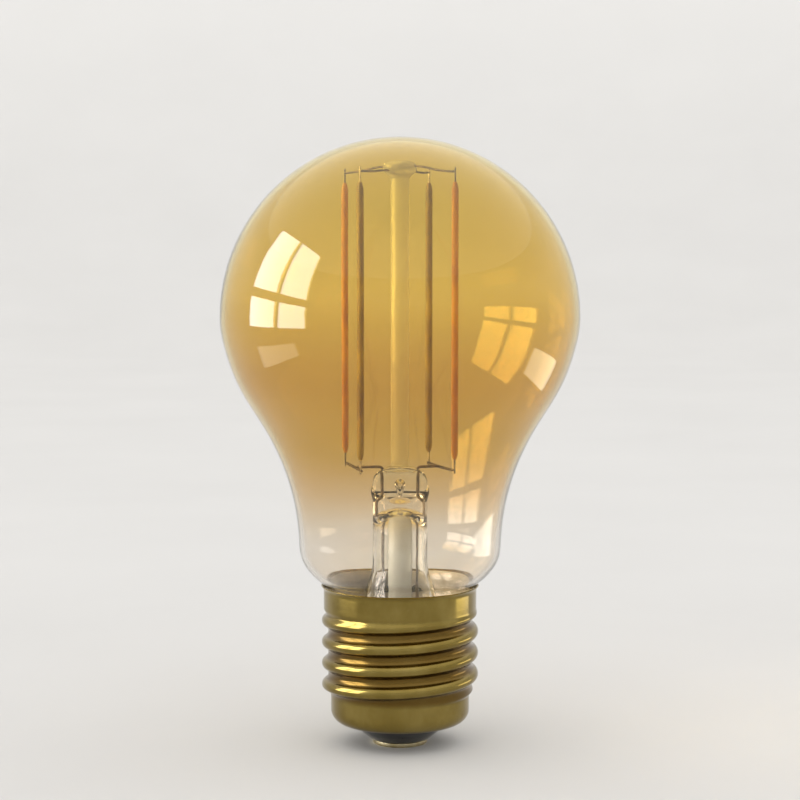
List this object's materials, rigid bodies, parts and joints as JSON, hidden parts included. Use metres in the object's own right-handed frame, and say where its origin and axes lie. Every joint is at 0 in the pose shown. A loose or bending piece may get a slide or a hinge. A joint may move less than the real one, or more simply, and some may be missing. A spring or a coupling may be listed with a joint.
{
  "type": "smart filament light bulb",
  "caption": "Pear-shaped amber glass lamp with upright LED filaments round a glass stem and a brass screw cap with a black insulator and flat end contact.",
  "frame": {"origin": "centre of the flat end contact, on the lamp's axis", "axes": "+Z along the lamp's axis from the end contact to the top of the glass; -Y is the side the stem's exhaust hole faces; +X to the right seen from there"},
  "size_m": [0.06, 0.06, 0.102],
  "materials": {
    "bulb_glass": "thin clear glass with an amber tint",
    "stem_glass": "clear lead-free stem glass",
    "cap_brass": "rolled thin brass sheet, polished",
    "contact_metal": "stamped brass",
    "pin_metal": "nickel-plated",
    "insulator_glass": "black glossy vitreous insulator",
    "cement": "baked capping cement",
    "wire": "dark nickel wire",
    "tab_metal": "plated steel strip",
    "phosphor_warm": "orange phosphor silicone",
    "phosphor_cool": "yellow phosphor silicone",
    "substrate": "translucent ceramic strip",
    "led_chip": "blue LED dice",
    "board": "glass-fibre circuit board",
    "can": "drawn can",
    "sleeve": "shrink sleeve",
    "ferrite": "ferrite",
    "enamel_wire": "enamelled copper turns",
    "film_case": "dipped film capacitor",
    "fuse_coat": "flameproof coating",
    "chip_body": "moulded chip package",
    "chip_part": "chip parts",
    "crystal_can": "metal lid",
    "pin_gold": "plated pins",
    "solder": "solder",
    "live_sleeve": "red insulated wire",
    "neutral_sleeve": "black insulated wire",
    "aerial_sleeve": "white insulated aerial wire"
  },
  "bodies": {
    "root": {"glass_envelope": "bulb_glass", "stem_flare": "stem_glass", "exhaust_tube": "stem_glass", "centre_rod": "stem_glass", "cap_shell": "cap_brass", "cap_insulator": "insulator_glass", "centre_contact": "contact_metal", "contact_pin": "pin_metal", "cap_cement": "cement", "driver_board": "board", "wifi_board": "board", "bulk_capacitor": "can", "capacitor_sleeve": "sleeve", "choke_core": "ferrite", "choke_winding": "enamel_wire", "film_capacitor": "film_case", "fuse_resistor": "fuse_coat", "bridge_rectifier": "chip_body", "chip_resistors": "chip_part", "chip_capacitors": "chip_part", "header_pins": "pin_gold", "board_solder": "solder", "wifi_chip": "chip_body", "flash_chip": "chip_body", "wifi_crystal": "crystal_can", "antenna_wire": "aerial_sleeve", "live_wire": "live_sleeve", "neutral_wire": "neutral_sleeve", "neutral_solder": "solder", "top_link_warm": "wire", "top_link_cool": "wire", "foot_bar_left": "wire", "foot_bar_right": "wire", "lead_wire_left": "wire", "lead_wire_right": "wire", "warm_driver_chip": "chip_body", "cool_driver_chip": "chip_body", "warm_left_coat": "phosphor_warm", "warm_left_substrate": "substrate", "warm_left_chips": "led_chip", "warm_left_tabs": "tab_metal", "warm_right_coat": "phosphor_warm", "warm_right_substrate": "substrate", "warm_right_chips": "led_chip", "warm_right_tabs": "tab_metal", "cool_left_coat": "phosphor_cool", "cool_left_substrate": "substrate", "cool_left_chips": "led_chip", "cool_left_tabs": "tab_metal", "cool_right_coat": "phosphor_cool", "cool_right_substrate": "substrate", "cool_right_chips": "led_chip", "cool_right_tabs": "tab_metal"}
  },
  "joints": []
}
